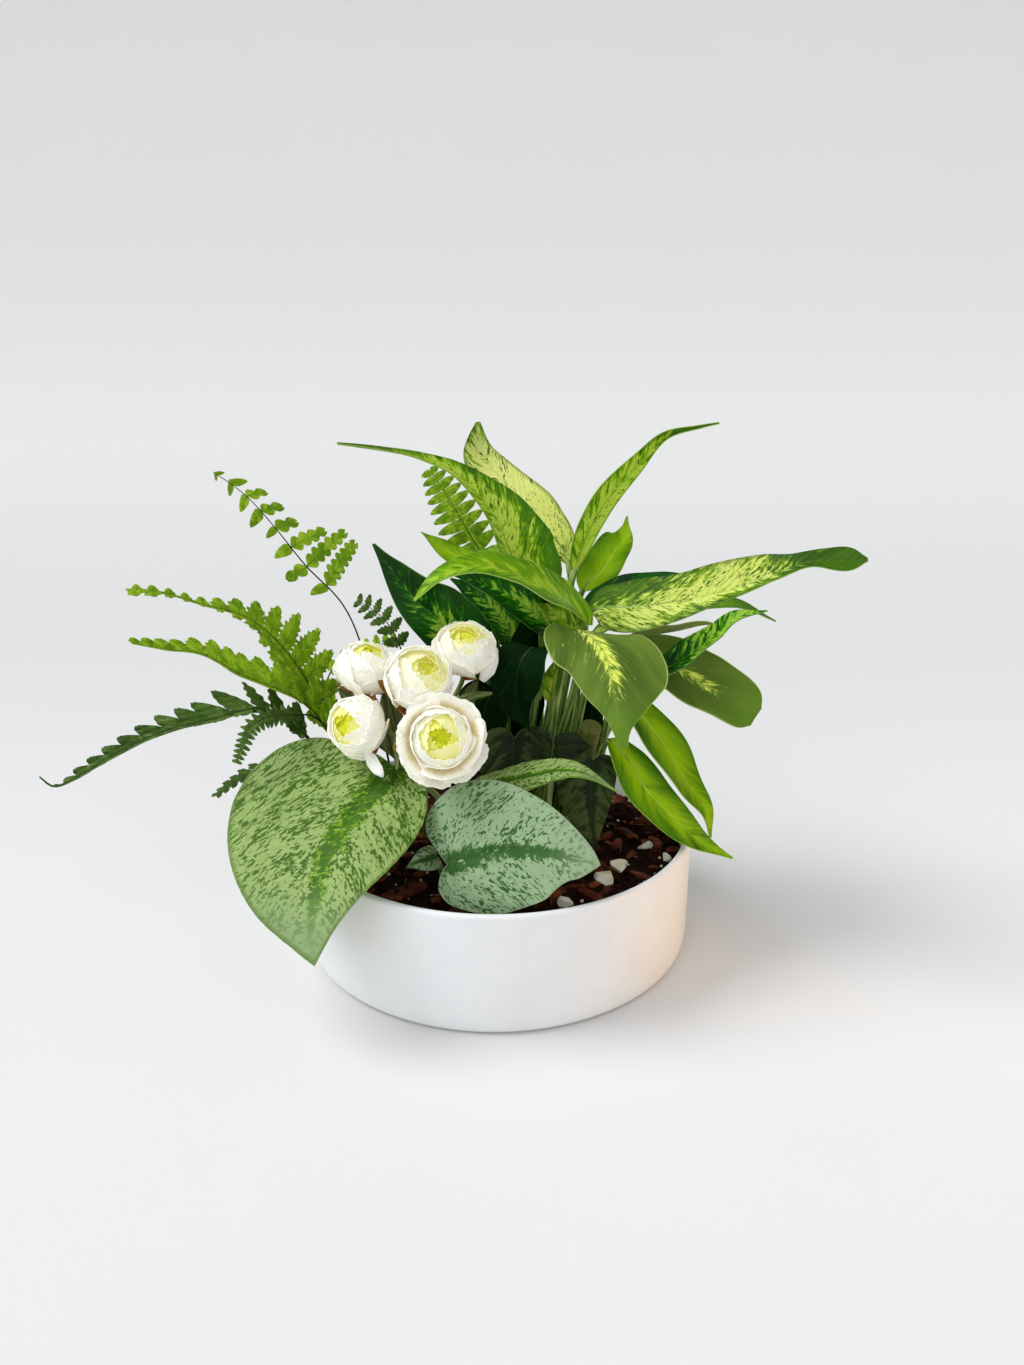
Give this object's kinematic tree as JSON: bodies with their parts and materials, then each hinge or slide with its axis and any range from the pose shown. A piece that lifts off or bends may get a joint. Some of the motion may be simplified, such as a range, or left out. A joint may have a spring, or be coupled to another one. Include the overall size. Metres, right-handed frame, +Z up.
{
  "type": "dish garden",
  "caption": "Low white ceramic bowl planted with variegated dumb cane, satin pothos and fern, with white ranunculus heads in front.",
  "frame": {"origin": "centre of the bowl's foot, on the surface that it stands on", "axes": "+Z up, +X to the viewer's right along the widest spread of the leaves, -Y towards the viewer"},
  "size_m": [0.3943, 0.2171, 0.2609],
  "materials": {
    "ceramic_white": "satin",
    "potting_mix": "matte",
    "cane_bright": "satin",
    "cane_green": "satin",
    "cane_dark": "satin",
    "cane_olive": "satin",
    "satin_pale": "satin",
    "satin_silver": "satin",
    "satin_dark": "satin",
    "fern_green": "satin",
    "silk_white": "matte",
    "flower_stem": "matte",
    "stone_white": "matte",
    "bark_brown": "matte"
  },
  "bodies": {
    "root": {"bowl": "ceramic_white", "potting_mix": "potting_mix", "cane_leaf_01": "cane_bright", "cane_leaf_02": "cane_bright", "cane_leaf_03": "cane_bright", "cane_leaf_04": "cane_green", "cane_leaf_05": "cane_bright", "cane_leaf_06": "cane_green", "cane_leaf_07": "cane_olive", "cane_leaf_08": "cane_dark", "cane_leaf_09": "cane_dark", "cane_leaf_10": "cane_olive", "cane_leaf_11": "cane_olive", "cane_leaf_12": "cane_green", "cane_leaf_13": "cane_green", "cane_leaf_14": "cane_dark", "cane_leaf_15": "cane_green", "cane_leaf_16": "cane_dark", "cane_leaf_17": "cane_dark", "cane_leaf_18": "cane_dark", "cane_leaf_19": "cane_dark", "cane_leaf_20": "cane_bright", "cane_leaf_21": "cane_green", "cane_leaf_22": "cane_green", "cane_leaf_23": "cane_green", "cane_leaf_24": "cane_dark", "cut_cane": "cane_olive", "pothos_leaf_1": "satin_pale", "pothos_leaf_2": "satin_silver", "pothos_leaf_3": "satin_pale", "pothos_leaf_4": "satin_dark", "pothos_leaf_5": "satin_dark", "pothos_leaf_6": "satin_silver", "pothos_leaf_7": "satin_dark", "fern_frond_1": "fern_green", "fern_frond_2": "fern_green", "fern_frond_3": "fern_green", "fern_frond_4": "fern_green", "fern_frond_5": "fern_green", "fern_frond_6": "fern_green", "fern_frond_7": "fern_green", "fern_frond_8": "fern_green", "fern_frond_9": "fern_green", "flower_head_1": "silk_white", "flower_head_2": "silk_white", "flower_head_3": "silk_white", "flower_head_4": "silk_white", "flower_head_5": "silk_white", "flower_stems": "flower_stem", "pebble_1": "stone_white", "pebble_2": "stone_white", "pebble_3": "stone_white", "pebble_4": "stone_white", "pebble_5": "stone_white", "bark_chip_1": "bark_brown", "bark_chip_2": "bark_brown"}
  },
  "joints": []
}
